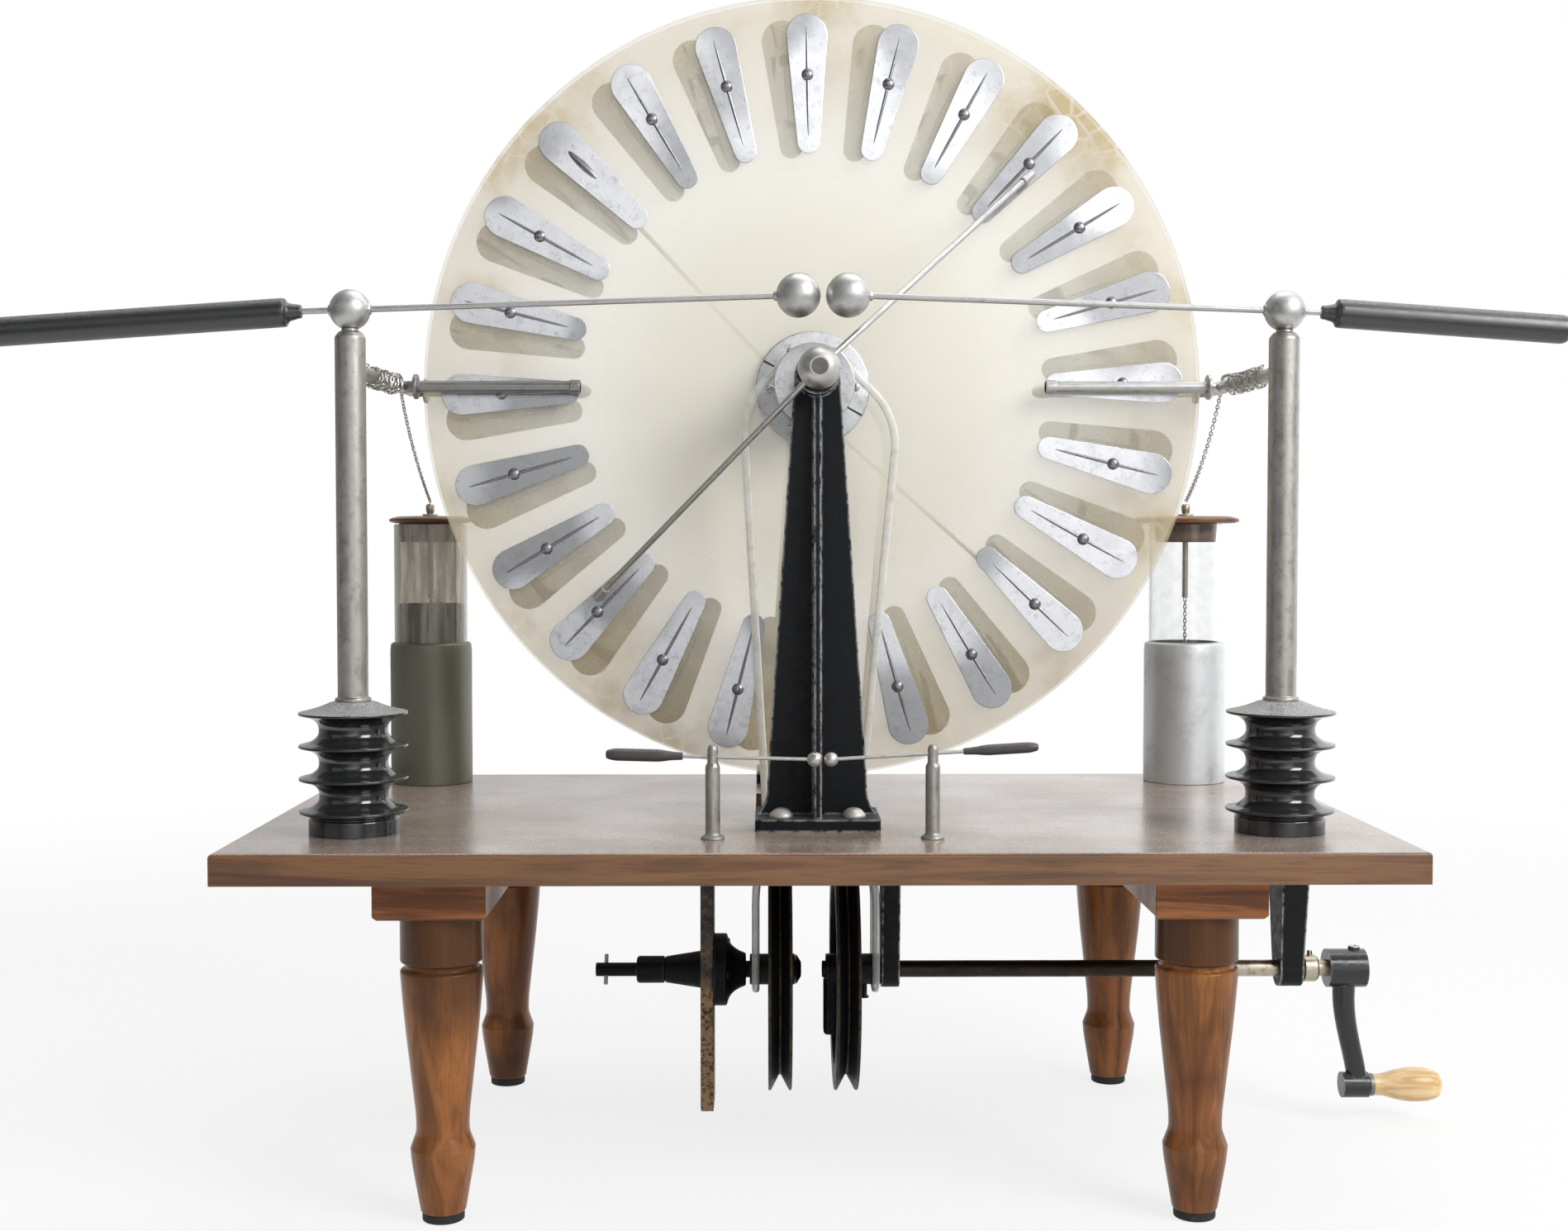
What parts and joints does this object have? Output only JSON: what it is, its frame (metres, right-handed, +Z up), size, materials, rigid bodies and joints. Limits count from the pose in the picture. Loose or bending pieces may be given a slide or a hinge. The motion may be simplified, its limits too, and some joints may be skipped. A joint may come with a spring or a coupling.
{
  "type": "wimshurst machine",
  "caption": "Hand-cranked electrostatic generator: contra-rotating sectored discs on a legged board, with combs, jars, spark balls and a belt drive.",
  "frame": {"origin": "middle of the machine's footprint, on the surface it stands on", "axes": "+X along the crank shaft towards the crank, +Y from the front to the back, +Z up"},
  "size_m": [1.0892, 0.4572, 0.8766],
  "materials": {
    "board_wood": "satin varnish",
    "leg_wood": "gloss varnish",
    "grip_wood": "oiled",
    "lid_wood": "satin",
    "foot_rubber": "matt",
    "black_iron": "black paint, chipped",
    "strap_iron": "worn paint, rust-speckled",
    "steel": "satin",
    "nickel": "aged nickel",
    "post_metal": "drawn, dull",
    "sector_metal": "pressed sheet",
    "hub_metal": "turned casting",
    "foil": "satin grey",
    "lining": "dark foil",
    "jar_glass": "clear",
    "disc_sheet": "translucent ivory",
    "ebonite": "polished, dusty",
    "gauge_ebonite": "worn",
    "clear_tube": "clear soft tube"
  },
  "bodies": {
    "stand": {"base_board": "board_wood", "left_batten": "board_wood", "right_batten": "board_wood", "front_left_leg": "leg_wood", "front_right_leg": "leg_wood", "back_left_leg": "leg_wood", "back_right_leg": "leg_wood", "foot_pads": "foot_rubber", "front_column": "black_iron", "rear_column": "black_iron", "column_bolts": "steel", "disc_axle": "steel", "left_insulator": "ebonite", "right_insulator": "ebonite", "left_post": "post_metal", "right_post": "post_metal", "left_comb": "nickel", "right_comb": "nickel", "comb_points": "nickel", "left_jar_glass": "jar_glass", "right_jar_glass": "jar_glass", "jar_coatings": "foil", "left_jar_lid": "lid_wood", "right_jar_lid": "lid_wood", "jar_rods": "steel", "jar_linings": "lining", "left_jar_lead": "nickel", "right_jar_lead": "nickel", "outer_hanger": "black_iron", "inner_hanger": "black_iron", "idler_plate": "strap_iron", "idler_bearing": "black_iron", "left_gauge_post": "post_metal", "right_gauge_post": "post_metal", "drive_belt": "clear_tube"},
    "front_rotor": {"front_disc": "disc_sheet", "front_sectors": "sector_metal", "front_hub": "hub_metal"},
    "rear_rotor": {"rear_disc": "disc_sheet", "rear_sectors": "sector_metal", "rear_hub": "hub_metal"},
    "crank": {"crank_shaft": "steel", "crank_wheel": "black_iron", "shaft_collar": "steel", "crank_arm": "black_iron"},
    "grip": {"crank_grip": "grip_wood"},
    "idler": {"idler_shaft": "black_iron", "idler_wheel": "black_iron"},
    "front_neutraliser_rod": {"front_neutraliser": "nickel"},
    "rear_neutraliser_rod": {"rear_neutraliser": "nickel"},
    "left_terminal": {"left_terminal_ball": "nickel"},
    "right_terminal": {"right_terminal_ball": "nickel"},
    "left_discharger": {"left_discharge_rod": "nickel", "left_handle": "ebonite"},
    "right_discharger": {"right_discharge_rod": "nickel", "right_handle": "ebonite"},
    "left_gauge_slide": {"left_gauge_rod": "nickel", "left_gauge_handle": "gauge_ebonite"},
    "right_gauge_slide": {"right_gauge_rod": "nickel", "right_gauge_handle": "gauge_ebonite"}
  },
  "joints": [
    {"name": "crank_turn", "type": "hinge", "parent": "stand", "child": "crank", "pos_m": [0.02455, 0.02865, 0.1227], "axis": [1, 0, 0], "continuous": true},
    {"name": "grip_spin", "type": "hinge", "parent": "crank", "child": "grip", "pos_m": [0.45305, 0.02865, 0.0297], "axis": [1, 0, 0], "continuous": true},
    {"name": "idler_turn", "type": "hinge", "parent": "stand", "child": "idler", "pos_m": [0.02455, 0.02865, 0.1227], "axis": [1, 0, 0], "continuous": true},
    {"name": "front_disc_turn", "type": "hinge", "parent": "stand", "child": "front_rotor", "pos_m": [0.02455, 0.02865, 0.5766], "axis": [0, 1, 0], "continuous": true},
    {"name": "rear_disc_turn", "type": "hinge", "parent": "stand", "child": "rear_rotor", "pos_m": [0.02455, 0.02865, 0.5766], "axis": [0, 1, 0], "continuous": true},
    {"name": "front_neutraliser_tilt", "type": "hinge", "parent": "stand", "child": "front_neutraliser_rod", "pos_m": [0.02455, -0.15735, 0.5766], "axis": [0, 1, 0], "range_deg": [-3, 25]},
    {"name": "rear_neutraliser_tilt", "type": "hinge", "parent": "stand", "child": "rear_neutraliser_rod", "pos_m": [0.02455, 0.21465, 0.5766], "axis": [0, -1, 0], "range_deg": [-3, 25]},
    {"name": "left_terminal_swivel", "type": "hinge", "parent": "stand", "child": "left_terminal", "pos_m": [-0.29845, -0.13535, 0.618], "axis": [0, 0, -1], "range_deg": [0, 50]},
    {"name": "right_terminal_swivel", "type": "hinge", "parent": "stand", "child": "right_terminal", "pos_m": [0.34755, -0.13535, 0.618], "axis": [0, 0, 1], "range_deg": [0, 50]},
    {"name": "left_rod_slide", "type": "slide", "parent": "left_terminal", "child": "left_discharger", "axis": [-0.9994, 0, -0.034], "range_m": [-0.001, 0.12]},
    {"name": "right_rod_slide", "type": "slide", "parent": "right_terminal", "child": "right_discharger", "axis": [0.9994, 0, -0.0347], "range_m": [-0.001, 0.12]},
    {"name": "left_gauge_slide_in", "type": "slide", "parent": "stand", "child": "left_gauge_slide", "axis": [-0.9997, 0, 0.0262], "range_m": [0, 0.045]},
    {"name": "right_gauge_slide_in", "type": "slide", "parent": "stand", "child": "right_gauge_slide", "axis": [0.9982, 0, 0.0593], "range_m": [0, 0.045]}
  ],
  "couplings": [
    {"joint": "idler_turn", "follows": "crank_turn", "ratio": -1},
    {"joint": "front_disc_turn", "follows": "crank_turn", "ratio": 0.56044},
    {"joint": "rear_disc_turn", "follows": "crank_turn", "ratio": -0.56044}
  ]
}
